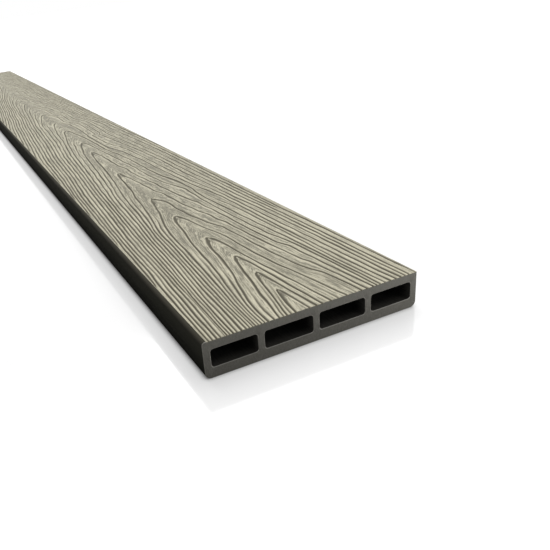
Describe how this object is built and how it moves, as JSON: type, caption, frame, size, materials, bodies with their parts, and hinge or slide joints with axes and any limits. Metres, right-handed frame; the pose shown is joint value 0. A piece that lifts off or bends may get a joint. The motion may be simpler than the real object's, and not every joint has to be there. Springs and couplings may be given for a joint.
{
  "type": "composite fence board",
  "caption": "Hollow wood-plastic composite board with a wood-grain face, cells along its length and square sawn ends, for fence infill.",
  "frame": {"origin": "middle of the plain back, halfway along the board and on the plane it lies on", "axes": "+Y along the length, +X across the width, +Z through the thickness towards the wood-grain face; the board lies flat on its back"},
  "size_m": [0.15, 1.8, 0.025],
  "materials": {
    "composite": "wood and polymer composite: light warm grey embossed and brushed face, dark charcoal sides, back and sawn ends"
  },
  "bodies": {
    "root": {"fence_board": "composite"}
  },
  "joints": []
}
